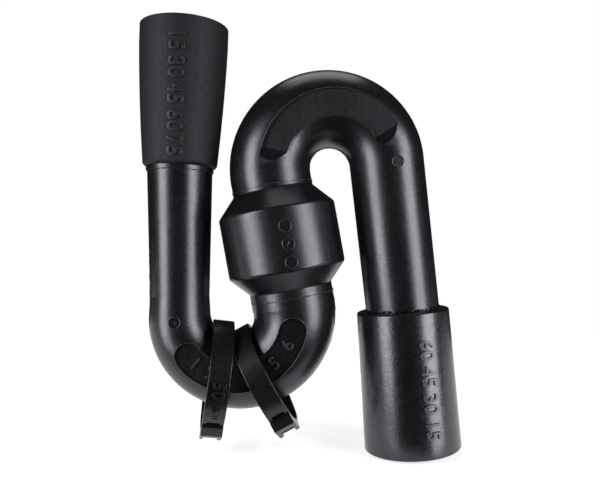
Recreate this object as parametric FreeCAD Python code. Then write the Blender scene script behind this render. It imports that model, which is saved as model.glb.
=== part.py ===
import FreeCAD, Part
import os
from math import atan2, cos, degrees, radians, sin, sqrt, tan

# Flexible rubber S-trap with a reseal chamber in its riser, and the two loose hose clamps that hang on its
# lower bend. It stands as installed: +Z up, +X from the waste to the outlet pipe, its front faces -Y.
# The origin is the centre of the waste sleeve's open mouth. Lengths are millimetres, angles are degrees.

# Waste sleeve, which is pushed up over the threaded tail of the sink waste
waste_bore = 47.0
waste_seat_depth = 14.0
sleeve_wall = 2.85
sleeve_length = 84.0
sleeve_lean = 1.9
sleeve_mouth_band = 12.0
sleeve_foot_diameter = 44.5
sleeve_bulge = 0.5
sleeve_lip_rounding = 2.6
sleeve_stop = 0.6

# Inlet leg and lower bend, moulded in one
leg_diameter = 38.9
leg_waist_diameter = 35.3
leg_foot_diameter = 36.6
leg_waist_height = 11.5
leg_waist_rounding = 12.0
leg_wall = 3.8
leg_insertion = 16.0
spigot_step = 0.4
leg_length = 88.7
bead_diameter = 40.3
bead_height = 2.4
lower_bend_radius = 34.6
riser_diameter = 49.8
riser_lean = 10.3
lower_stub = 5.2
bend_sections = 6

# Reseal chamber in the riser
chamber_diameter = 70.4
chamber_band = 36.0
chamber_wall_shift = 1.0
chamber_wall = 3.0
lower_cone = 10.9
upper_cone = 12.1
lower_neck = 5.2
upper_neck = 2.2
chamber_rounding = 2.6
neck_lap = 4.4
lap_step = 1.5

# Upper bend and outlet leg, moulded in one
upper_neck_diameter = 48.4
upper_stub = 5.7
upper_bend_radius = 35.3
outlet_top_diameter = 44.6
outlet_foot_diameter = 43.6
outlet_leg_length = 88.6
outlet_leg_lean = 6.2
outlet_insertion = 20.0

# Outlet socket, which is pushed over the waste pipe
pipe_bore = 50.0
pipe_depth = 60.0
socket_length = 83.6
socket_lean = 4.3
socket_shoulder_diameter = 54.8
socket_mouth_diameter = 57.6
socket_shoulder_rise = 1.2
socket_rounding = 1.4
socket_entry_rounding = 0.8

# Sunk pads on the front of the two bends: the lower one ends round, the upper one in two slopes
pad_width = 16.0
pad_depth = 2.3
lower_pad_from = 220.0
lower_pad_to = 348.0
upper_pad_from = 167.0
upper_pad_to = 33.0
pad_end_slope = 19.0
pad_end_turn = 20.0
upper_pad_shift = 3.2

# Round mould marks: a shallow dish with a raised ring and pin in it
mark_diameter = 6.6
mark_depth = 0.5
mark_ring_diameter = 4.1
mark_ring_width = 0.5
mark_ring_rise = 0.4
chamber_mark_pitch = 10.2
chamber_mark_drop = 3.0
chamber_mark_turn = 6.5
leg_mark_angle = 184.5
bend_mark_angle = 2.0
bend_mark_turn = 9.0

# Loose hose clamps, each moulded in one: a toothed tongue runs between two prongs, under a bridge
clamp_diameter = 65.8
clamp_band = 2.0
clamp_width = 12.4
clamp_edge_rounding = 0.5
prong_thickness = 2.0
prong_reach = 4.6
prong_arc = 22.0
prong_shoulder = 0.4
prong_nose = 0.9
bridge_arc = 13.0
bridge_lap = 1.5
bridge_skirt = 4.0
bridge_crest_share = 0.6
window_arc = 4.5
window_sill = 3.0
window_width = 7.4
window_depth = 1.1
tongue_thickness = 1.4
tongue_play = 0.35
tongue_arc = 52.0
tooth_height = 0.9
tooth_pitch = 2.0
tooth_share = 0.85
clamp_clearance = 0.3
hanging_play = 0.02
probe_step = 2
right_clamp_place = 297.2
right_clamp_lean = -28.0
right_clamp_yaw = 1.5
right_clamp_head = 36.0
right_clamp_forward = -1.0
left_clamp_place = 249.7
left_clamp_lean = 7.4
left_clamp_yaw = 9.0
left_clamp_head = 28.0
left_clamp_forward = 1.0

FRONT = FreeCAD.Vector(0, -1, 0)
BACK = FreeCAD.Vector(0, 1, 0)


def vector(x, z, y=0.0):
    """Point in the trap's own plane, or off it by y."""
    return FreeCAD.Vector(x, y, z)


def leaning(angle):
    """Unit vector that points up and leans by the angle towards +X."""
    return vector(sin(radians(angle)), cos(radians(angle)))


def rounded_outline(corners):
    """Closed face in the XZ plane from (x, z, rounding) corners, each rounding a tangent arc."""
    edges = []
    starts = []
    ends = []
    count = len(corners)
    for index, (x, z, rounding) in enumerate(corners):
        corner = vector(x, z)
        before = (vector(*corners[index - 1][:2]) - corner).normalize()
        after = (vector(*corners[(index + 1) % count][:2]) - corner).normalize()
        half_angle = before.getAngle(after) / 2
        setback = rounding / tan(half_angle) if rounding else 0.0
        starts.append(corner + before * setback)
        ends.append(corner + after * setback)
        if rounding:
            middle = (before + after).normalize()
            crown = corner + middle * (rounding / sin(half_angle) - rounding)
            edges.append(Part.Arc(starts[-1], crown, ends[-1]).toShape())
    for index in range(count):
        following = (index + 1) % count
        if ends[index].distanceToPoint(starts[following]) > 1e-6:
            edges.append(Part.makeLine(ends[index], starts[following]))
    return Part.Face(Part.Wire(Part.__sortEdges__(edges)))


def turned(corners, foot, lean):
    """Solid turned round an axis that stands on the foot and leans towards +X."""
    solid = rounded_outline(corners).revolve(vector(0, 0), vector(0, 1), 360)
    solid.rotate(vector(0, 0), BACK, lean)
    solid.translate(foot)
    return solid


def rod(radius, low, high, foot, lean):
    """Plain round rod from one height to another on an axis that stands on the foot and leans."""
    return turned([(0, low, 0), (radius, low, 0), (radius, high, 0), (0, high, 0)], foot, lean)


def on_circle(centre, radius, angle):
    """Point on a circle in the trap's plane, the angle counted from +X towards +Z."""
    return centre + vector(cos(radians(angle)), sin(radians(angle))) * radius


def tube_at(angle, start, stop, first, last):
    """Tube radius at an angle of a bend whose radius changes evenly from the first to the last."""
    return first + (last - first) * (angle - start) / (stop - start)


def along_bend(start, stop):
    """Angles of the sections that a bend is drawn through."""
    return [start + (stop - start) * step / bend_sections for step in range(bend_sections + 1)]


def tube_bend(centre, radius, start, stop, first, last):
    """Solid bend of a round tube whose radius changes evenly from the first to the last."""
    sections = []
    for angle in along_bend(start, stop):
        tube = tube_at(angle, start, stop, first, last)
        section = Part.Wire(Part.makeCircle(tube, vector(radius, 0), vector(0, 1)))
        section.rotate(vector(0, 0), BACK, -angle)
        section.translate(centre)
        sections.append(section)
    return Part.makeLoft(sections, True)


def pad_cutter(centre, radius, angles, tubes):
    """Tool for a sunk pad on the front of a bend, its floor at one depth under the swelling tube."""
    sections = []
    for angle in along_bend(*angles):
        tube = tube_at(angle, *angles, *tubes)
        outward = on_circle(vector(0, 0), 1, angle) * (pad_width / 2)
        middle = on_circle(centre, radius, angle)
        floor = FRONT * (tube - pad_depth)
        top = FRONT * (tube + pad_depth)
        corners = [middle + outward + floor, middle + outward + top]
        corners += [middle - outward + top, middle - outward + floor]
        sections.append(Part.makePolygon(corners + corners[:1]))
    return Part.makeLoft(sections, True)


def end_slope(centre, radius, angle, tube, sense):
    """Block under a sunk pad's sloping end, which rises from the pad's floor along the bend."""
    floor = on_circle(centre, radius, angle) + FRONT * (tube - pad_depth)
    reach = 2 * pad_width
    block = Part.makeBox(reach, reach, reach, vector(-reach / 2, -reach / 2))
    block.rotate(vector(0, 0), vector(1, 0), sense * pad_end_slope)
    block.rotate(vector(0, 0), BACK, -angle)
    block.translate(floor)
    return block


def mark_cutter(axis_point, across, tube, turn):
    """Tool for a round mould mark on a tube's front, which leaves a ring and a pin standing in it."""
    radius = mark_diameter / 2
    outward = FRONT * cos(radians(turn)) + across * sin(radians(turn))
    floor = axis_point + outward * (tube - mark_depth)
    dish = Part.makeCylinder(radius, 3 * mark_depth, floor, outward)
    ring = Part.makeCylinder(mark_ring_diameter / 2, mark_ring_rise, floor, outward)
    ring = ring.cut(Part.makeCylinder(mark_ring_diameter / 2 - mark_ring_width, mark_depth, floor, outward))
    pin = Part.makeCylinder(mark_ring_width, mark_ring_rise, floor, outward)
    return dish.cut(ring).cut(pin)


def write(name, shape):
    """Write one piece to its own file."""
    shape.exportStep(os.path.join("parts", name + ".step"))


# Where the pieces meet, worked out from the waste mouth along the water's way
waste_mouth = vector(0, 0)
leg_top = waste_mouth - leaning(sleeve_lean) * sleeve_length
leg_foot = leg_top - vector(0, leg_length)
lower_centre = leg_foot + vector(lower_bend_radius, 0)
lower_bend_start = 180.0
lower_bend_stop = 360 + riser_lean
riser = leaning(-riser_lean)
lower_bend_end = on_circle(lower_centre, lower_bend_radius, lower_bend_stop)
chamber_foot = lower_bend_end + riser * lower_stub
chamber_length = lower_neck + lower_cone + chamber_band + upper_cone + upper_neck
chamber_top = chamber_foot + riser * chamber_length
upper_bend_start = 180 + riser_lean
upper_bend_stop = outlet_leg_lean
upper_bend_foot = chamber_top + riser * upper_stub
upper_centre = upper_bend_foot - on_circle(vector(0, 0), upper_bend_radius, upper_bend_start)
outlet_top = on_circle(upper_centre, upper_bend_radius, upper_bend_stop)
outlet_foot = outlet_top - leaning(-outlet_leg_lean) * outlet_leg_length


def waste_sleeve():
    """Tapered sleeve: a plain band at the mouth, a slightly barrelled body and a rounded lip."""
    bore = waste_bore / 2
    mouth = bore + sleeve_wall
    foot = sleeve_foot_diameter / 2
    seat = leg_diameter / 2 - spigot_step
    band = -sleeve_mouth_band
    lip = -sleeve_length + sleeve_lip_rounding
    belly = vector((mouth + foot) / 2 + sleeve_bulge, (band + lip) / 2)
    body = Part.Arc(vector(mouth, band), belly, vector(foot, lip))
    corner = vector(foot - sleeve_lip_rounding * (1 - sqrt(0.5)), lip - sleeve_lip_rounding * sqrt(0.5))
    lip_end = vector(foot - sleeve_lip_rounding, -sleeve_length)
    inner = [vector(seat, -sleeve_length), vector(seat, -sleeve_length + leg_insertion)]
    inner += [vector(seat + sleeve_stop, -sleeve_length + leg_insertion), vector(bore, -waste_seat_depth)]
    inner += [vector(bore, 0), vector(mouth, 0), vector(mouth, band)]
    edges = [body.toShape(), Part.Arc(vector(foot, lip), corner, lip_end).toShape()]
    edges += Part.makePolygon([lip_end] + inner).Edges
    solid = Part.Face(Part.Wire(Part.__sortEdges__(edges))).revolve(waste_mouth, vector(0, 1), 360)
    solid.rotate(waste_mouth, BACK, sleeve_lean)
    return solid


def inlet_leg_and_bend(wall):
    """Solid core of the inlet leg and the widening lower bend, a wall inside their outside."""
    top = leg_diameter / 2 - wall
    waist = leg_waist_diameter / 2 - wall
    foot = leg_foot_diameter / 2 - wall
    end = riser_diameter / 2 - wall
    bend = tube_bend(lower_centre, lower_bend_radius, lower_bend_start, lower_bend_stop, foot, end)
    leg = [(0, 0, 0), (foot, 0, 0), (waist, leg_waist_height, leg_waist_rounding),
           (top, leg_length, 0), (0, leg_length, 0)]
    return bend.fuse(turned(leg, leg_foot, 0))


def lower_bend():
    """Inlet leg with its spigot and bead, the lower bend, and the riser's spigot."""
    top = leg_diameter / 2
    foot = leg_foot_diameter / 2
    end = riser_diameter / 2
    bore = end - leg_wall
    past_sleeve = rod(2 * top, 0, leg_insertion, leg_top, sleeve_lean)
    outer = inlet_leg_and_bend(0).cut(past_sleeve)
    outer = outer.fuse([
        rod(top - spigot_step, -bead_height, leg_insertion, leg_top, sleeve_lean),
        rod(bead_diameter / 2, -bead_height, 0, leg_top, sleeve_lean),
        rod(end, 0, lower_stub, lower_bend_end, -riser_lean),
        rod(end - lap_step, 0, neck_lap, chamber_foot, -riser_lean)])
    inner = inlet_leg_and_bend(leg_wall).fuse([
        rod(top - leg_wall - spigot_step, -bead_height, 2 * leg_insertion, leg_top, sleeve_lean),
        rod(bore, 0, lower_stub + neck_lap, lower_bend_end, -riser_lean)])
    solid = outer.cut(inner)
    angles = (lower_pad_from, lower_pad_to)
    tubes = [tube_at(angle, lower_bend_start, lower_bend_stop, foot, end) for angle in angles]
    solid = solid.cut(pad_cutter(lower_centre, lower_bend_radius, angles, tubes))
    for angle, tube in zip(angles, tubes):
        floor = on_circle(lower_centre, lower_bend_radius, angle) + FRONT * (tube - pad_depth)
        solid = solid.cut(Part.makeCylinder(pad_width / 2, 2 * pad_depth, floor, FRONT))
    tube = tube_at(leg_mark_angle, lower_bend_start, lower_bend_stop, foot, end)
    point = on_circle(lower_centre, lower_bend_radius, leg_mark_angle)
    return solid.cut(mark_cutter(point, on_circle(vector(0, 0), 1, leg_mark_angle), tube, 0))


def reseal_chamber():
    """Wide chamber with a cone at each end and a short neck that laps over the bend's spigot."""
    outer_band = chamber_diameter / 2
    low = riser_diameter / 2
    high = upper_neck_diameter / 2
    band_foot = lower_neck + lower_cone
    band_top = band_foot + chamber_band
    outer = turned(
        [(0, 0, 0), (low, 0, 0), (low, lower_neck, 1.5), (outer_band, band_foot, chamber_rounding),
         (outer_band, band_top, chamber_rounding), (high, chamber_length - upper_neck, 1.5),
         (high, chamber_length, 0), (0, chamber_length, 0)], chamber_foot, -riser_lean)
    water_band = outer_band - chamber_wall
    low_bore = low - leg_wall
    high_bore = high - leg_wall
    inner = turned(
        [(0, 0, 0), (low_bore, 0, 0), (low_bore, lower_neck + chamber_wall_shift, 0),
         (water_band, band_foot + chamber_wall_shift, chamber_rounding),
         (water_band, band_top - chamber_wall_shift, chamber_rounding),
         (high_bore, chamber_length - upper_neck - chamber_wall_shift, 0),
         (high_bore, chamber_length, 0), (0, chamber_length, 0)], chamber_foot, -riser_lean)
    low_lap = low - lap_step
    high_lap = high - lap_step
    seats = [turned([(0, 0, 0), (low_lap, 0, 0), (low_lap, neck_lap, 0), (0, neck_lap, 0)],
                    chamber_foot, -riser_lean)]
    seats.append(turned([(0, -neck_lap, 0), (high_lap, -neck_lap, 0), (high_lap, 0, 0), (0, 0, 0)],
                        chamber_top, -riser_lean))
    solid = outer.cut(inner).cut(seats[0]).cut(seats[1])
    middle = chamber_foot + riser * (band_foot + chamber_band / 2 - chamber_mark_drop)
    across = leaning(90 - riser_lean)
    for step in (-1, 0, 1):
        point = middle + riser * (step * chamber_mark_pitch)
        solid = solid.cut(mark_cutter(point, across, outer_band, chamber_mark_turn))
    return solid


def outlet_leg(wall, over):
    """Solid core of the outlet leg, a wall inside its outside, and over its length by some millimetres."""
    top = outlet_top_diameter / 2 - wall
    foot = outlet_foot_diameter / 2 - wall
    low = -outlet_leg_length - over
    return turned([(0, low, 0), (foot, low, 0), (top, 0, 0), (0, 0, 0)], outlet_top, -outlet_leg_lean)


def upper_bend():
    """Riser's spigot, the upper bend that narrows a little, and the outlet leg with its spigot."""
    start = upper_neck_diameter / 2
    top = outlet_top_diameter / 2
    foot = outlet_foot_diameter / 2
    bore = start - leg_wall
    outer = tube_bend(upper_centre, upper_bend_radius, upper_bend_start, upper_bend_stop, start, top)
    past_socket = rod(2 * foot, -outlet_insertion, 0, outlet_foot, -socket_lean)
    outer = outer.fuse([
        rod(start, 0, upper_stub, chamber_top, -riser_lean),
        rod(start - lap_step, -neck_lap, 0, chamber_top, -riser_lean),
        outlet_leg(0, leg_wall).cut(past_socket),
        rod(foot - spigot_step, -outlet_insertion, leg_wall, outlet_foot, -socket_lean)])
    inner = tube_bend(
        upper_centre, upper_bend_radius, upper_bend_start, upper_bend_stop, bore, top - leg_wall)
    inner = inner.fuse([
        rod(bore, -neck_lap, upper_stub, chamber_top, -riser_lean),
        outlet_leg(leg_wall, 0),
        rod(foot - leg_wall - spigot_step, -outlet_insertion, leg_wall, outlet_foot, -socket_lean)])
    solid = outer.cut(inner)
    breaks = (upper_pad_from, upper_pad_to)
    angles = (upper_pad_from + pad_end_turn, upper_pad_to - pad_end_turn)
    tubes = [tube_at(angle, upper_bend_start, upper_bend_stop, start, top) for angle in angles]
    pad_centre = upper_centre + vector(upper_pad_shift, 0)
    cutter = pad_cutter(pad_centre, upper_bend_radius, angles, tubes)
    for angle, sense in zip(breaks, (1, -1)):
        tube = tube_at(angle, upper_bend_start, upper_bend_stop, start, top)
        cutter = cutter.cut(end_slope(pad_centre, upper_bend_radius, angle, tube, sense))
    solid = solid.cut(cutter)
    tube = tube_at(bend_mark_angle, upper_bend_start, upper_bend_stop, start, top)
    point = on_circle(upper_centre, upper_bend_radius, bend_mark_angle)
    across = on_circle(vector(0, 0), 1, bend_mark_angle)
    return solid.cut(mark_cutter(point, across, tube, bend_mark_turn))


def pipe_socket():
    """Socket with a shallow cone shoulder, a pipe bore up to its stop and a smaller bore for the leg."""
    mouth = socket_mouth_diameter / 2
    shoulder = socket_shoulder_diameter / 2
    leg = outlet_foot_diameter / 2 - spigot_step
    pipe = pipe_bore / 2
    outline = [(leg, 0, 0), (shoulder, -socket_shoulder_rise, socket_rounding)]
    outline += [(mouth, -socket_length, socket_entry_rounding), (pipe, -socket_length, socket_entry_rounding)]
    outline += [(pipe, pipe_depth - socket_length, 0), (leg, pipe_depth - socket_length, 0)]
    return turned(outline, outlet_foot, -socket_lean)


def polar_block(points, width, edge=0.0):
    """Block across the clamp's band from (radius, angle) points, the angle turning from -Z to -Y."""
    corners = []
    for radius, angle in points:
        turn = radians(angle)
        corners.append(vector(edge - width / 2, -radius * cos(turn), -radius * sin(turn)))
    return Part.Face(Part.makePolygon(corners + corners[:1])).extrude(vector(width, 0))


def rounded_band():
    """Round band of a clamp about the X axis, without its head."""
    outer = clamp_diameter / 2
    side = vector(-clamp_width / 2, 0)
    ring = Part.makeCylinder(outer, clamp_width, side, vector(1, 0))
    ring = ring.cut(Part.makeCylinder(outer - clamp_band, clamp_width, side, vector(1, 0)))
    rims = [edge for edge in ring.Edges if edge.Curve.TypeId == "Part::GeomCircle"]
    return ring.makeFillet(clamp_edge_rounding, rims)


def hose_clamp():
    """One clamp round the X axis, its head down and its prongs towards the back."""
    outer = clamp_diameter / 2
    ring = rounded_band()
    tongue_width = clamp_width - 2 * (prong_thickness + tongue_play)
    back = outer + tongue_thickness
    crest = back + tooth_height
    top = outer + prong_reach
    bed = outer - clamp_band / 2
    pitch = degrees(tooth_pitch / back)
    teeth = int(tongue_arc / pitch)
    rim = []
    for tooth in range(teeth):
        rim.append((back, (tooth - teeth) * pitch + bridge_arc))
        rim.append((crest, (tooth - teeth + tooth_share) * pitch + bridge_arc))
    rim.append((back, bridge_arc))
    floor = [(bed, bridge_arc - step * pitch) for step in range(teeth + 1)]
    tongue = polar_block(rim + floor, tongue_width)
    middle = bridge_crest_share * bridge_arc
    bridge = polar_block(
        [(bed, -bridge_skirt), (crest, -bridge_skirt), (top - prong_shoulder, 0), (top, middle),
         (back, bridge_arc + bridge_lap), (bed, bridge_arc + bridge_lap)], clamp_width)
    prong = [(bed, bridge_arc), (back, bridge_arc), (top, middle), (top, -prong_arc / 2),
             (top - prong_nose, -prong_arc + bridge_skirt), (outer, -prong_arc), (bed, -prong_arc),
             (bed, 0)]
    edge = (clamp_width - prong_thickness) / 2
    prongs = [polar_block(prong, prong_thickness, side * edge) for side in (-1, 1)]
    solid = ring.fuse([tongue, bridge] + prongs)
    sill = bridge_arc + window_sill
    floor = outer - window_depth
    window = polar_block(
        [(floor, sill), (top, sill), (top, sill + window_arc), (floor, sill + window_arc)], window_width)
    return solid.cut(window).removeSplitter()


def rubber_gap(point):
    """Distance from a point to the outside of the lower bend, below zero inside it."""
    offset = point - lower_centre
    angle = degrees(atan2(offset.z, offset.x)) % 360
    if angle < lower_bend_start / 2:
        angle += 360
    angle = min(max(angle, lower_bend_start), lower_bend_stop)
    tube = tube_at(angle, lower_bend_start, lower_bend_stop, leg_foot_diameter / 2, riser_diameter / 2)
    return point.distanceToPoint(on_circle(lower_centre, lower_bend_radius, angle)) - tube


def hung(clamp, place, lean, yaw, head, forward):
    """Clamp set round the bend at a place and lowered until its band hangs just clear of the rubber."""
    centre = on_circle(lower_centre, lower_bend_radius, place) + FRONT * forward
    turn = FreeCAD.Rotation(BACK, lean).multiply(FreeCAD.Rotation(vector(0, 1), yaw))
    inside = clamp_diameter / 2 - clamp_band
    rim = clamp_width / 2 - clamp_edge_rounding
    probes = []
    for angle in range(0, 360, probe_step):
        for side in (-rim, rim):
            spoke = on_circle(vector(0, 0), inside + clamp_edge_rounding, angle)
            probes.append(centre + turn.multVec(FreeCAD.Vector(side, spoke.x, spoke.z)))
    free = 0.0
    caught = inside
    while caught - free > hanging_play:
        drop = (free + caught) / 2
        gap = min(rubber_gap(probe + vector(0, -drop)) for probe in probes) - clamp_edge_rounding
        if gap > clamp_clearance:
            free = drop
        else:
            caught = drop
    clamp.rotate(vector(0, 0), vector(1, 0), -head)
    clamp.Placement = FreeCAD.Placement(centre + vector(0, -free), turn).multiply(clamp.Placement)
    return clamp


os.makedirs("parts", exist_ok=True)
right_clamp = hung(
    hose_clamp(), right_clamp_place, right_clamp_lean, right_clamp_yaw, right_clamp_head,
    right_clamp_forward)
left_clamp = hung(
    hose_clamp(), left_clamp_place, left_clamp_lean, left_clamp_yaw, left_clamp_head,
    left_clamp_forward)
pieces = {
    "waste_sleeve": waste_sleeve(),
    "lower_bend": lower_bend(),
    "reseal_chamber": reseal_chamber(),
    "upper_bend": upper_bend(),
    "pipe_socket": pipe_socket(),
    "clamp_right": right_clamp,
    "clamp_left": left_clamp,
}
for name, shape in pieces.items():
    write(name, shape)
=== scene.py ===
from collections import namedtuple
from math import atan2, cos, degrees, pi, radians, sin

import bmesh
import bpy
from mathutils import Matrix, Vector


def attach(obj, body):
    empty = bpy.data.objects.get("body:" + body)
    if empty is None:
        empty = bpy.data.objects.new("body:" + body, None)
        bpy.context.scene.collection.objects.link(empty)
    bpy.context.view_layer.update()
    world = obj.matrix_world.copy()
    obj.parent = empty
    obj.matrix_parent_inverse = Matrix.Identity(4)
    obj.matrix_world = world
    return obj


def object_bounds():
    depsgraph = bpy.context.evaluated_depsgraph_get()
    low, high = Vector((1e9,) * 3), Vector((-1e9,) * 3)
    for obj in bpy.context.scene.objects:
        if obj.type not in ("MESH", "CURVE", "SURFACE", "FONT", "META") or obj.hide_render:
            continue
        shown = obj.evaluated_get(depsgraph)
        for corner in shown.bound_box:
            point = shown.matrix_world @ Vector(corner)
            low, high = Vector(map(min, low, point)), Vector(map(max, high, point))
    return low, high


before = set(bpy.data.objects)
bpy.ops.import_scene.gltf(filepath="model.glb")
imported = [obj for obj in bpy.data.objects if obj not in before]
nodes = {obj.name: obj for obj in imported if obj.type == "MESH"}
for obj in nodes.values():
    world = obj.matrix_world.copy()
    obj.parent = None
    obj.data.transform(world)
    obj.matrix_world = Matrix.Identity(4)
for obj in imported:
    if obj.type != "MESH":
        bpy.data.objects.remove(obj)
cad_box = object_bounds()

mm = 0.001

# The camera stands level in front of the trap, as the photograph was taken.
# Its axis meets the trap's own plane a little below the picture's middle.
picture_width = 600
focal_length = 620
lens = bpy.data.cameras.new("camera")
lens.sensor_width = 36
lens.lens = 36 * focal_length / picture_width
lens.shift_y = 8 / picture_width
lens.clip_start = 0.01
camera = bpy.data.objects.new("camera", lens)
camera.location = (69.7 * mm, -374.6 * mm, -132.3 * mm)
camera.rotation_euler = (pi / 2, 0, 0)
bpy.context.collection.objects.link(camera)
bpy.context.scene.camera = camera
bpy.context.scene.view_settings.view_transform = "Standard"


# The studio: a sheet of white paper under the trap, in surroundings that are white to the camera
# alone. Two tall softboxes stand in front of it on the left and the right, and a lamp hangs above.
def combined(tree, operation, first, second):
    """Math node of one socket and a second socket or number."""
    node = tree.nodes.new("ShaderNodeMath")
    node.operation = operation
    tree.links.new(first, node.inputs[0])
    if isinstance(second, float):
        node.inputs[1].default_value = second
    else:
        tree.links.new(second, node.inputs[1])
    return node.outputs[0]


def ramp(tree, source, low, high, to_low=0.0, to_high=1.0):
    """Map Range node from one span of values to another, held at its ends."""
    node = tree.nodes.new("ShaderNodeMapRange")
    node.inputs["From Min"].default_value = low
    node.inputs["From Max"].default_value = high
    node.inputs["To Min"].default_value = to_low
    node.inputs["To Max"].default_value = to_high
    tree.links.new(source, node.inputs["Value"])
    return node.outputs["Result"]


def paper_sheet(low, near=-0.05, far=0.45, left=-0.9, right=1.05):
    corners = [(left, near, low), (right, near, low), (right, far, low), (left, far, low)]
    mesh = bpy.data.meshes.new("paper_sheet")
    mesh.from_pydata(corners, [], [(0, 1, 2, 3)])
    sheet = bpy.data.objects.new("paper_sheet", mesh)
    bpy.context.collection.objects.link(sheet)
    return sheet


def paper(own_light=0.68):
    """White paper with a light of its own, which is seen straight or mirrored but reaches nothing dull."""
    material = bpy.data.materials.new("white paper")
    material.use_nodes = True
    tree = material.node_tree
    surface = tree.nodes["Principled BSDF"]
    surface.inputs["Base Color"].default_value = (0.9, 0.9, 0.9, 1)
    surface.inputs["Roughness"].default_value = 0.9
    surface.inputs["Specular IOR Level"].default_value = 0.1
    surface.inputs["Emission Color"].default_value = (1, 1, 1, 1)
    path = tree.nodes.new("ShaderNodeLightPath").outputs
    seen = combined(tree, "MAXIMUM", path["Is Camera Ray"], path["Is Glossy Ray"])
    seen = combined(tree, "MAXIMUM", seen, path["Is Transmission Ray"])
    tree.links.new(combined(tree, "MULTIPLY", seen, own_light), surface.inputs["Emission Strength"])
    return material


def softbox(name, azimuth, height, distance, width, tall, power):
    """Lamp that faces the trap from an azimuth, counted from the front towards the right."""
    lamp = bpy.data.lights.new(name, "AREA")
    lamp.shape = "RECTANGLE"
    lamp.size = width
    lamp.size_y = tall
    lamp.energy = power
    stand = bpy.data.objects.new(name, lamp)
    aim = Vector((0.065, 0, -0.13))
    turn = radians(azimuth)
    stand.location = aim + Vector((sin(turn) * distance, -cos(turn) * distance, height))
    stand.rotation_euler = (aim - stand.location).to_track_quat("-Z", "Y").to_euler()
    stand.visible_camera = False
    bpy.context.collection.objects.link(stand)


sheet = paper_sheet(low=cad_box[0][2] - 0.5 * mm)
sheet.data.materials.append(paper())
softbox("softbox_left", azimuth=-54, height=0.1, distance=1.25, width=0.6, tall=1.1, power=18.5)
softbox("softbox_right", azimuth=55, height=0.1, distance=1.25, width=0.66, tall=1.1, power=19)
softbox("lamp_above", azimuth=180, height=1.3, distance=0.35, width=0.9, tall=0.9, power=5)

world = bpy.data.worlds.new("studio")
world.use_nodes = True
air = world.node_tree
sky = air.nodes["Background"]
sky.inputs["Color"].default_value = (1, 1, 1, 1)
looked_at = air.nodes.new("ShaderNodeLightPath").outputs["Is Camera Ray"]
air.links.new(ramp(air, looked_at, 0, 1, to_low=0.02, to_high=1.0), sky.inputs["Strength"])
bpy.context.scene.world = world


# The trap is moulded in black rubber. A mould's sparked steel leaves a fine leathery
# grain, the flow of the rubber leaves faint streaks, and handling leaves dull patches.
def coordinates(tree):
    """The trap's own coordinates, from one node in each tree."""
    node = tree.nodes.get("place") or tree.nodes.new("ShaderNodeTexCoord")
    node.name = "place"
    return node.outputs["Object"]


def field(tree, kind, scale, detail=2.0, roughness=0.5, stretch=None):
    """Texture of one scale in the trap's own coordinates, stretched along the axes where that is given."""
    texture = tree.nodes.new(kind)
    vector = coordinates(tree)
    if stretch:
        mapping = tree.nodes.new("ShaderNodeMapping")
        mapping.inputs["Scale"].default_value = stretch
        tree.links.new(vector, mapping.inputs["Vector"])
        vector = mapping.outputs["Vector"]
    tree.links.new(vector, texture.inputs["Vector"])
    texture.inputs["Scale"].default_value = scale
    if kind == "ShaderNodeTexNoise":
        texture.inputs["Detail"].default_value = detail
        texture.inputs["Roughness"].default_value = roughness
    return texture


def sum_of(tree, first, second, share):
    """First value plus a share of the second."""
    node = tree.nodes.new("ShaderNodeMath")
    node.operation = "MULTIPLY_ADD"
    tree.links.new(second, node.inputs[0])
    node.inputs[1].default_value = share
    tree.links.new(first, node.inputs[2])
    return node.outputs[0]


def new_effect(name, outputs):
    """Empty shader node group whose one input is the size of its pattern."""
    effect = bpy.data.node_groups.new(name, "ShaderNodeTree")
    size = effect.interface.new_socket("Size", in_out="INPUT", socket_type="NodeSocketFloat")
    size.default_value = 1.0
    for label in outputs:
        effect.interface.new_socket(label, in_out="OUTPUT", socket_type="NodeSocketFloat")
    effect.nodes.new("NodeGroupInput").name = "given"
    effect.nodes.new("NodeGroupOutput").name = "made"
    return effect


def give(effect, label, value):
    effect.links.new(value, effect.nodes["made"].inputs[label])


def sized(effect, texture):
    """Let the group's Size input stretch a texture's pattern."""
    divide = effect.nodes.new("ShaderNodeMath")
    divide.operation = "DIVIDE"
    divide.inputs[0].default_value = texture.inputs["Scale"].default_value
    effect.links.new(effect.nodes["given"].outputs["Size"], divide.inputs[1])
    effect.links.new(divide.outputs[0], texture.inputs["Scale"])
    return texture


leather = new_effect("leather grain", ["Height", "Mottle"])
pebbles = sized(leather, field(leather, "ShaderNodeTexVoronoi", scale=1150))
pebbles.feature = "SMOOTH_F1"
lumps = sized(leather, field(leather, "ShaderNodeTexNoise", scale=520, detail=3, roughness=0.6))
pits = sized(leather, field(leather, "ShaderNodeTexNoise", scale=2400, detail=1))
height = ramp(leather, pebbles.outputs["Distance"], 0.1, 0.7)
height = sum_of(leather, height, lumps.outputs["Fac"], share=1.6)
height = sum_of(leather, height, pits.outputs["Fac"], share=0.5)
give(leather, "Height", height)
give(leather, "Mottle", ramp(leather, lumps.outputs["Fac"], 0.35, 0.65))

flow = new_effect("flow streaks", ["Streaks"])
streaks = field(flow, "ShaderNodeTexNoise", scale=1, detail=4, roughness=0.65, stretch=(420, 420, 30))
give(flow, "Streaks", ramp(flow, sized(flow, streaks).outputs["Fac"], 0.3, 0.7))

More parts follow.
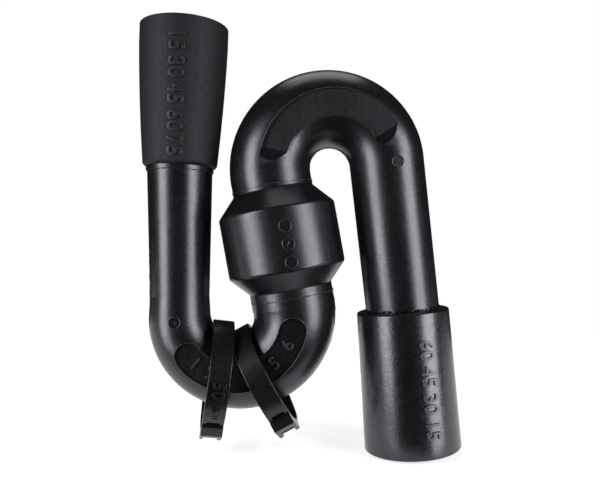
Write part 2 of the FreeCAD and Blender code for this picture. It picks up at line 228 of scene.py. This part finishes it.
handling = new_effect("handling", ["Patches", "Specks"])
patches = sized(handling, field(handling, "ShaderNodeTexNoise", scale=38, detail=5, roughness=0.6))
specks = sized(handling, field(handling, "ShaderNodeTexVoronoi", scale=420))
specks.inputs["Randomness"].default_value = 1.0
bits = sized(handling, field(handling, "ShaderNodeTexNoise", scale=140, detail=0))
speck = combined(handling, "MULTIPLY", ramp(handling, specks.outputs["Distance"], 0.1, 0.04),
                 ramp(handling, bits.outputs["Fac"], 0.58, 0.66))
give(handling, "Patches", ramp(handling, patches.outputs["Fac"], 0.35, 0.7))
give(handling, "Specks", speck)


def placed_group(tree, group, size=1.0):
    node = tree.nodes.new("ShaderNodeGroup")
    node.node_tree = group
    node.inputs["Size"].default_value = size
    return node.outputs


def pad_floor(tree, slant, height):
    """Mask of the flat pad, which faces the front above a line that rises by slant from a height."""
    facing = tree.nodes.new("ShaderNodeSeparateXYZ")
    tree.links.new(tree.nodes.new("ShaderNodeNewGeometry").outputs["Normal"], facing.inputs["Vector"])
    above = tree.nodes.new("ShaderNodeVectorMath")
    above.operation = "DOT_PRODUCT"
    above.inputs[1].default_value = (-slant, 0, 1)
    tree.links.new(coordinates(tree), above.inputs[0])
    return combined(tree, "MULTIPLY", ramp(tree, facing.outputs["Y"], -0.985, -0.995),
                    ramp(tree, above.outputs["Value"], height - 0.3 * mm, height + 0.3 * mm))


def black_rubber(name, dull, grain, grain_size=1.0, colour=(0.0034, 0.0031, 0.0039), specular=0.62, pad=None):
    """Satin black rubber, or nylon. Dull is its middle roughness, grain the depth of its skin in millimetres.
    A pad, given as its slant and height, is duller and keeps the fine upright combing of the mould."""
    material = bpy.data.materials.new(name)
    material.use_nodes = True
    tree = material.node_tree
    surface = tree.nodes["Principled BSDF"]
    surface.inputs["Specular IOR Level"].default_value = specular
    surface.inputs["Specular Tint"].default_value = (0.92, 0.89, 1.0, 1)
    skin = placed_group(tree, leather, grain_size)
    flowed = placed_group(tree, flow)
    worn = placed_group(tree, handling)
    rough = ramp(tree, skin["Mottle"], 0, 1, dull - 0.03, dull + 0.03)
    rough = sum_of(tree, rough, flowed["Streaks"], share=0.05)
    rough = sum_of(tree, rough, worn["Patches"], share=0.04)
    rough = sum_of(tree, rough, worn["Specks"], share=0.1)
    dusty = 5
    tint = tree.nodes.new("ShaderNodeMix")
    tint.data_type = "RGBA"
    tint.inputs["A"].default_value = (*colour, 1)
    tint.inputs["B"].default_value = (*(dusty * channel for channel in colour), 1)
    dust = sum_of(tree, ramp(tree, worn["Patches"], 0, 1, 0, 0.08), worn["Specks"], share=0.5)
    tree.links.new(dust, tint.inputs["Factor"])
    tree.links.new(tint.outputs["Result"], surface.inputs["Base Color"])
    relief = sum_of(tree, skin["Height"], flowed["Streaks"], share=0.3)
    if pad:
        floor = pad_floor(tree, *pad)
        rough = sum_of(tree, rough, floor, share=0.14)
        combing = field(tree, "ShaderNodeTexNoise", scale=1, detail=1, stretch=(1300, 50, 35))
        combs = combined(tree, "MULTIPLY", floor, ramp(tree, combing.outputs["Fac"], 0.3, 0.7))
        relief = sum_of(tree, relief, combs, share=4.0)
    tree.links.new(rough, surface.inputs["Roughness"])
    bump = tree.nodes.new("ShaderNodeBump")
    bump.inputs["Strength"].default_value = 1.0
    bump.inputs["Distance"].default_value = grain * mm
    tree.links.new(relief, bump.inputs["Height"])
    tree.links.new(bump.outputs["Normal"], surface.inputs["Normal"])
    return material


def finish_node(name, material):
    for slot in nodes[name].material_slots:
        slot.material = material


bend_rubber = black_rubber("bend rubber", dull=0.26, grain=0.008, pad=(0.147, -0.0916))
lower_rubber = black_rubber("lower bend rubber", dull=0.26, grain=0.008)
chamber_rubber = black_rubber("chamber rubber", dull=0.28, grain=0.008)
sleeve_rubber = black_rubber("sleeve rubber", dull=0.6, grain=0.1, specular=0.36)
socket_rubber = black_rubber("socket rubber", dull=0.22, grain=0.02, grain_size=1.2, specular=0.7)
# Raised numbers, chamber flash, pad lips and mark rims use this rubber, painted a shade lighter than the rest
# as a painted highlight on their edges.
painted_highlight_rubber = black_rubber("painted highlight rubber", dull=0.36, grain=0.01, colour=(0.007, 0.0066, 0.0074),
                             specular=0.8)
finish_node("upper_bend", bend_rubber)
finish_node("lower_bend", lower_rubber)
finish_node("reseal_chamber", chamber_rubber)
finish_node("waste_sleeve", sleeve_rubber)
finish_node("pipe_socket", socket_rubber)


# The sleeve and the socket carry raised numbers that read downwards on their fronts.
# They give the depth in millimetres from the mouth, and are moulded as one with the rubber,
# but are drawn in rubber painted a shade lighter, as a painted highlight on their edges.
size_to_height = 1.4


def number_mesh(text, tall, thick):
    """Mesh of a plain number that reads along +X, its strokes up along +Y and its relief along +Z."""
    curve = bpy.data.curves.new("number", "FONT")
    curve.body = text
    curve.size = tall * size_to_height
    curve.align_x = "CENTER"
    curve.align_y = "CENTER"
    curve.extrude = thick / 2
    curve.bevel_depth = 0.2 * mm
    curve.bevel_resolution = 1
    curve.resolution_u = 4
    drawn = bpy.data.objects.new("number", curve)
    mesh = bpy.data.meshes.new_from_object(drawn)
    bpy.data.objects.remove(drawn)
    bpy.data.curves.remove(curve)
    return mesh


def cut_across(shape, axis, step):
    """Cut a flat shape into strips across one axis, so that it can bend round a tube."""
    values = [vertex.co[axis] for vertex in shape.verts]
    place = min(values) + step
    normal = Vector([1.0 if index == axis else 0.0 for index in range(3)])
    while place < max(values):
        everything = list(shape.verts) + list(shape.edges) + list(shape.faces)
        bmesh.ops.bisect_plane(shape, geom=everything, plane_co=normal * place, plane_no=normal, dist=1e-7)
        place += step


def own_piece(name, mesh):
    piece = bpy.data.objects.new(name, mesh)
    bpy.context.collection.objects.link(piece)
    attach(piece, "root")


def raised_numbers(name, numbers, tall, relief, place, material):
    """Numbers as (text, spot), each bent onto a surface by place(spot, along, across, out)."""
    sunk = 0.2 * mm
    whole = bmesh.new()
    for text, spot in numbers:
        flat = bmesh.new()
        flat.from_mesh(number_mesh(text, tall, relief + sunk))
        cut_across(flat, 1, 0.9 * mm)
        cut_across(flat, 0, 2.5 * mm)
        for vertex in flat.verts:
            along, across, out = vertex.co
            vertex.co = place(spot, along, across, out + (relief - sunk) / 2)
        bit = bpy.data.meshes.new("bit")
        flat.to_mesh(bit)
        flat.free()
        whole.from_mesh(bit)
    bmesh.ops.remove_doubles(whole, verts=whole.verts, dist=1e-7)
    bmesh.ops.recalc_face_normals(whole, faces=whole.faces)
    mesh = bpy.data.meshes.new(name)
    whole.to_mesh(mesh)
    whole.free()
    mesh.materials.append(material)
    own_piece(name, mesh)


def in_plane(x, z):
    return Vector((x, 0, z))


def leaning(lean):
    """Axis and sideways directions of a tube that leans to the right by so many degrees."""
    turn = radians(lean)
    return in_plane(sin(turn), cos(turn)), in_plane(cos(turn), -sin(turn))


front = Vector((0, -1, 0))
inlet_lean = 1.9
outlet_lean = -4.3
socket_top = (131.43, -168.371)
socket_length = 82


def down_a_tube(foot, lean, angle, radius_at):
    """Way to lay a number on a leaning tube, read downwards, at a height on its axis."""
    axis, side = leaning(lean)

    def place(level, along, across, out):
        high = level - along
        tube = radius_at(high)
        turn = radians(angle) + across / tube
        return foot + axis * high + (front * cos(turn) + side * sin(turn)) * (tube + out)
    return place


def sleeve_radius(high, mouth=26.35, narrowing=4.1, bulge=2.0, band=12.0, length=69.4):
    """Outside of the barrelled sleeve under its plain mouth band, by the height on its axis."""
    part_way = min(max((-high / mm - band) / length, 0), 1)
    return (mouth - narrowing * part_way + bulge * part_way * (1 - part_way)) * mm


def socket_radius(high, top=27.4, widening=1.4, rounding=1.2, length=82.4):
    """Outside of the widening socket under its rounded top, by the height on its axis."""
    return (top + (-high / mm - rounding) / length * widening) * mm


sleeve_depths = [(15, 15), (30, 30), (45, 45), (60, 60), (75, 74)]
raised_numbers(
    "sleeve_numbers", [(str(depth), -spot * mm) for depth, spot in sleeve_depths],
    tall=9.0 * mm, relief=0.7 * mm, material=painted_highlight_rubber,
    place=down_a_tube(in_plane(0, 0), inlet_lean, 1, sleeve_radius))
raised_numbers(
    "socket_numbers", [(str(depth), (depth - socket_length) * mm) for depth in (60, 45, 30, 15)],
    tall=8.6 * mm, relief=0.7 * mm, material=painted_highlight_rubber,
    place=down_a_tube(in_plane(*socket_top) * mm, outlet_lean, 15, socket_radius))


# The sunk pad of the lower bend holds plain numbers from one to six, which stand on the pad's
# floor with their heads towards the middle of the bend. They are in rubber painted a shade lighter, as a
# painted highlight.
Bend = namedtuple("Bend", "centre radius start stop first_tube last_tube")
lower_bend = Bend(centre=(31.815, -172.654), radius=34.6, start=180, stop=370.3,
                  first_tube=18.3, last_tube=24.9)
upper_bend = Bend(centre=(86.767, -84.101), radius=35.3, start=190.3, stop=6.2,
                  first_tube=24.2, last_tube=22.3)
pad_depth = 2.3


def tube_at(bend, angle):
    """Outside radius of a bend's tube, which changes evenly along its arc."""
    share = min(max((angle - bend.start) / (bend.stop - bend.start), 0), 1)
    return bend.first_tube + (bend.last_tube - bend.first_tube) * share


def on_centre_line(bend, angle):
    turn = radians(angle)
    return in_plane(bend.centre[0] + bend.radius * cos(turn), bend.centre[1] + bend.radius * sin(turn))


def on_lower_pad(angle, along, across, out):
    turn = radians(angle)
    outward, right = in_plane(cos(turn), sin(turn)), in_plane(-sin(turn), cos(turn))
    deep = (tube_at(lower_bend, angle) - pad_depth) * mm
    return on_centre_line(lower_bend, angle) * mm + right * along - outward * across + front * (deep + out)


raised_numbers(
    "pad_numbers", [("1", 230), ("2", 247), ("3", 264), ("4", 290), ("5", 312), ("6", 334)],
    tall=7.5 * mm, relief=0.8 * mm, material=painted_highlight_rubber, place=on_lower_pad)


# Flash is the thin ragged edge where rubber crept between the mould's parts. It stands
# round each joint and along the plane where the mould's halves met.
def flash_tree():
    tree = bpy.data.node_groups.new("ragged flash", "GeometryNodeTree")
    face = tree.interface
    face.new_socket("Path", in_out="INPUT", socket_type="NodeSocketGeometry")
    for label in ("Thickness", "Raggedness", "Pattern"):
        face.new_socket(label, in_out="INPUT", socket_type="NodeSocketFloat")
    face.new_socket("Rubber", in_out="INPUT", socket_type="NodeSocketMaterial")
    face.new_socket("Flash", in_out="OUTPUT", socket_type="NodeSocketGeometry")
    given = tree.nodes.new("NodeGroupInput")
    made = tree.nodes.new("NodeGroupOutput")
    line = tree.nodes.new("GeometryNodeMeshToCurve")
    profile = tree.nodes.new("GeometryNodeCurvePrimitiveCircle")
    profile.inputs["Resolution"].default_value = 6
    skin = tree.nodes.new("GeometryNodeCurveToMesh")
    skin.inputs["Fill Caps"].default_value = True
    noise = tree.nodes.new("ShaderNodeTexNoise")
    noise.noise_dimensions = "4D"
    noise.inputs["Scale"].default_value = 330
    noise.inputs["Detail"].default_value = 3
    where = tree.nodes.new("GeometryNodeInputPosition")
    outward = tree.nodes.new("GeometryNodeInputNormal")
    shift = tree.nodes.new("ShaderNodeVectorMath")
    shift.operation = "SCALE"
    move = tree.nodes.new("GeometryNodeSetPosition")
    shade = tree.nodes.new("GeometryNodeSetShadeSmooth")
    real = tree.nodes.new("GeometryNodeRealizeInstances")
    finish = tree.nodes.new("GeometryNodeSetMaterial")
    join = tree.links.new
    join(given.outputs["Path"], line.inputs["Mesh"])
    join(given.outputs["Thickness"], profile.inputs["Radius"])
    join(line.outputs["Curve"], skin.inputs["Curve"])
    join(profile.outputs["Curve"], skin.inputs["Profile Curve"])
    join(where.outputs["Position"], noise.inputs["Vector"])
    join(given.outputs["Pattern"], noise.inputs["W"])
    swing = ramp(tree, noise.outputs["Fac"], 0.3, 0.7, to_low=-1.0, to_high=1.0)
    join(combined(tree, "MULTIPLY", swing, given.outputs["Raggedness"]), shift.inputs["Scale"])
    join(outward.outputs["Normal"], shift.inputs[0])
    join(skin.outputs["Mesh"], move.inputs["Geometry"])
    join(shift.outputs["Vector"], move.inputs["Offset"])
    join(move.outputs["Geometry"], shade.inputs["Geometry"])
    join(shade.outputs["Geometry"], real.inputs["Geometry"])
    join(real.outputs["Geometry"], finish.inputs["Geometry"])
    join(given.outputs["Rubber"], finish.inputs["Material"])
    join(finish.outputs["Geometry"], made.inputs["Flash"])
    return tree


ragged_flash = flash_tree()
flash_sockets = {item.name: item.identifier for item in ragged_flash.interface.items_tree}


def flash(name, paths, thickness, raggedness, pattern, material):
    """Flash along open paths or closed rings, each a list of points and whether it closes."""
    points = []
    edges = []
    for line, closed in paths:
        first = len(points)
        points += line
        edges += [(first + index, first + index + 1) for index in range(len(line) - 1)]
        if closed:
            edges.append((len(points) - 1, first))
    mesh = bpy.data.meshes.new(name)
    mesh.from_pydata(points, edges, [])
    drawn = bpy.data.objects.new(name, mesh)
    bpy.context.collection.objects.link(drawn)
    grow = drawn.modifiers.new("flash", "NODES")
    grow.node_group = ragged_flash
    grow[flash_sockets["Thickness"]] = thickness
    grow[flash_sockets["Raggedness"]] = raggedness
    grow[flash_sockets["Pattern"]] = pattern
    grow[flash_sockets["Rubber"]] = material
    bpy.context.view_layer.update()
    whole = bpy.data.meshes.new_from_object(drawn.evaluated_get(bpy.context.evaluated_depsgraph_get()))
    bpy.data.objects.remove(drawn)
    own_piece(name, whole)


def ring(centre, lean, radius, rise=0.0, count=240):
    """Closed ring round a joint whose axis leans, given in millimetres."""
    axis, side = leaning(lean)
    points = []
    for index in range(count):
        turn = 2 * pi * index / count
        spoke = side * cos(turn) - front * sin(turn)
        points.append((in_plane(*centre) + axis * rise + spoke * radius) * mm)
    return points, True


riser_lean = -10.3
riser_foot = (64.927, -161.351)
riser_head = (53.055, -96.021)
sleeve_foot = (-2.785, -83.954)
# The flash round the chamber's two joints is drawn in rubber painted a shade lighter, as a painted highlight
# on the ragged line.
flash("joint_flash", [ring(riser_head, riser_lean, 24.15), ring(riser_foot, riser_lean, 24.85)],
      thickness=0.36 * mm, raggedness=0.34 * mm, pattern=3.0, material=painted_highlight_rubber)
flash("socket_flash", [ring(socket_top, outlet_lean, 21.95, rise=0.1)],
      thickness=0.45 * mm, raggedness=0.45 * mm, pattern=8.0, material=socket_rubber)
flash("sleeve_flash", [ring(sleeve_foot, inlet_lean, 19.5, rise=-2.5)],
      thickness=0.25 * mm, raggedness=0.3 * mm, pattern=5.0, material=sleeve_rubber)


def arc_points(bend, start, stop, reach, step=1.5):
    """Points along a bend in the trap's plane, at a reach from its centre that changes evenly."""
    count = max(2, int(abs(stop - start) / step))
    points = []
    for index in range(count + 1):
        angle = radians(start + (stop - start) * index / count)
        far = reach[0] + (reach[1] - reach[0]) * index / count
        points.append(in_plane(bend.centre[0] + far * cos(angle), bend.centre[1] + far * sin(angle)) * mm)
    return points


def run_points(first, last, step=1.5):
    first, last = in_plane(*first), in_plane(*last)
    count = max(2, int((last - first).length / step))
    return [(first + (last - first) * index / count) * mm for index in range(count + 1)]


inlet_left = run_points((-22.1, -87.5), (-20.95, -161))
outlet_right = run_points((144.05, -78.5), (153.05, -166.8))
parting_paths = [
    inlet_left + arc_points(lower_bend, lower_bend.start, lower_bend.stop, reach=(52.85, 59.45)),
    arc_points(lower_bend, lower_bend.stop, 205, reach=(9.75, 15.45)),
    arc_points(upper_bend, upper_bend.start, upper_bend.stop, reach=(59.45, 57.55)) + outlet_right,
    arc_points(upper_bend, upper_bend.start, upper_bend.stop, reach=(11.15, 13.05))]
flash("parting_lines", [(path, False) for path in parting_paths],
      thickness=0.22 * mm, raggedness=0.3 * mm, pattern=11.0, material=bend_rubber)


# The sunk pads have a crisp lip where the mould's insert met the bend, and the round
# mould marks a fine raised rim, three of them with an arrow inside. Lips, rims and arrows
# are drawn in rubber painted a shade lighter, as a painted highlight.
def on_bend(x, z, bend):
    """Point on the front of a bend over a place in the trap's plane."""
    offset = Vector((x - bend.centre[0], z - bend.centre[1]))
    angle = degrees(atan2(offset.y, offset.x))
    # Angles are counted on past half a turn, as the bend's own are.
    if angle < min(bend.start, bend.stop) - 60:
        angle += 360
    tube = tube_at(bend, angle)
    aside = offset.length - bend.radius
    return Vector((x, -max(tube * tube - aside * aside, 0.01) ** 0.5, z)) * mm


pad_half = 8


def pad_rim(bend, pad_centre, side, start, stop, step=2.0):
    """Points along a pad's outer (1) or inner (-1) side, round the pad's own centre."""
    reach = bend.radius + side * pad_half
    count = int(abs(stop - start) / step)
    line = []
    for index in range(count + 1):
        angle = radians(start + (stop - start) * index / count)
        line.append(on_bend(pad_centre[0] + reach * cos(angle), pad_centre[1] + reach * sin(angle), bend))
    return line


def pad_end(bend, angle, sense, count=18):
    """Points round one half-round end of a pad, from its outer side anticlockwise (1) or clockwise (-1)."""
    middle = on_centre_line(bend, angle)
    line = []
    for index in range(count + 1):
        turn = radians(angle + sense * 180 * index / count)
        line.append(on_bend(middle.x + pad_half * cos(turn), middle.z + pad_half * sin(turn), bend))
    return line


upper_pad_centre = (upper_bend.centre[0] + 3.2, upper_bend.centre[1])
lip_paths = [
    pad_rim(lower_bend, lower_bend.centre, 1, 220, 348),
    pad_end(lower_bend, 348, 1),
    pad_rim(lower_bend, lower_bend.centre, -1, 348, 220),
    pad_end(lower_bend, 220, -1),
    pad_rim(upper_bend, upper_pad_centre, 1, 168, 36),
    pad_rim(upper_bend, upper_pad_centre, -1, 165, 36)]
flash("pad_lips", [(path, False) for path in lip_paths],
      thickness=0.3 * mm, raggedness=0.05 * mm, pattern=2.0, material=painted_highlight_rubber)

Mark = namedtuple("Mark", "middle side offset up tube")


def on_mark(mark, flat, sunk=0.0):
    """Points on a tube's front from flat (right, high) places round a mark's middle, in millimetres."""
    line = []
    for right, high in flat:
        aside = mark.offset + right
        depth = ((mark.tube - sunk) ** 2 - aside * aside) ** 0.5
        line.append((mark.middle + mark.up * high + mark.side * aside + front * depth) * mm)
    return line


def mark_pointer(mark, turn):
    """A small arrow in a mark, turned clockwise from upright."""
    right, high = sin(radians(turn)), cos(radians(turn))
    strokes = [((0, -1.3), (0, 1.4)), ((0, 1.4), (-0.8, 0.3)), ((0, 1.4), (0.8, 0.3))]
    lines = []
    for stroke in strokes:
        flat = [(a * high + b * right, b * high - a * right) for a, b in stroke]
        middle = ((flat[0][0] + flat[1][0]) / 2, (flat[0][1] + flat[1][1]) / 2)
        lines.append((on_mark(mark, [flat[0], middle, flat[1]], sunk=0.1), False))
    return lines


neck, cone, half_band, marks_lowered, mark_step = 5.2, 10.9, 18, 3.0, 10.2
chamber_radius, chamber_turn = 35.2, 6.5
leg_radius = 18.5
outlet_radius, outlet_turn = 22.25, 9
rim_radius, rim_points = 3.35, 48
riser_up, riser_side = leaning(riser_lean)
band_middle = in_plane(*riser_foot) + riser_up * (neck + cone + half_band - marks_lowered)
right, up = in_plane(1, 0), in_plane(0, 1)
chamber_offset = chamber_radius * sin(radians(chamber_turn))
outlet_offset = outlet_radius * sin(radians(outlet_turn))
marks = [Mark(band_middle + riser_up * step * mark_step, riser_side, chamber_offset, riser_up, chamber_radius)
         for step in (-1, 0, 1)]
marks.append(Mark(on_centre_line(lower_bend, 184.5), right, 0, up, leg_radius))
marks.append(Mark(on_centre_line(upper_bend, 2), right, outlet_offset, up, outlet_radius))
rim_turns = [2 * pi * index / rim_points for index in range(rim_points)]
rim_circle = [(rim_radius * cos(turn), rim_radius * sin(turn)) for turn in rim_turns]
flash("mark_rims", [(on_mark(mark, rim_circle), True) for mark in marks],
      thickness=0.32 * mm, raggedness=0.05 * mm, pattern=6.0, material=painted_highlight_rubber)
flash("mark_pointers", mark_pointer(marks[1], 30) + mark_pointer(marks[3], 70) + mark_pointer(marks[4], 40),
      thickness=0.22 * mm, raggedness=0.02 * mm, pattern=9.0, material=painted_highlight_rubber)


# The hose clamps are nylon, moulded in one piece each. Their bands keep a low sheen,
# and the left one carries two raised numbers on its front.
nylon = black_rubber("clamp nylon", dull=0.27, grain=0.01, specular=0.5)
finish_node("clamp_left", nylon)
finish_node("clamp_right", nylon)


def on_left_strap(turn, along, across, out):
    """Place on the left band's outside, by an angle round it from its head; numbers read downwards."""
    middle = Vector((19.811, -1.0, -208.741)) * mm
    width = Vector((0.97946, 0.15643, -0.12721))
    rear = Vector((-0.19744, 0.87208, -0.44777))
    top = Vector((0.04089, 0.46369, 0.88505))
    band = 34.9 * mm
    angle = radians(turn) - along / band
    return middle + width * across - (top * cos(angle) + rear * sin(angle)) * (band + out)


raised_numbers("strap_numbers", [("50", 60)], tall=7.2 * mm, relief=0.5 * mm,
               material=nylon, place=on_left_strap)
raised_numbers("strap_sizes", [("60", 35)], tall=4.4 * mm, relief=0.35 * mm,
               material=nylon, place=on_left_strap)
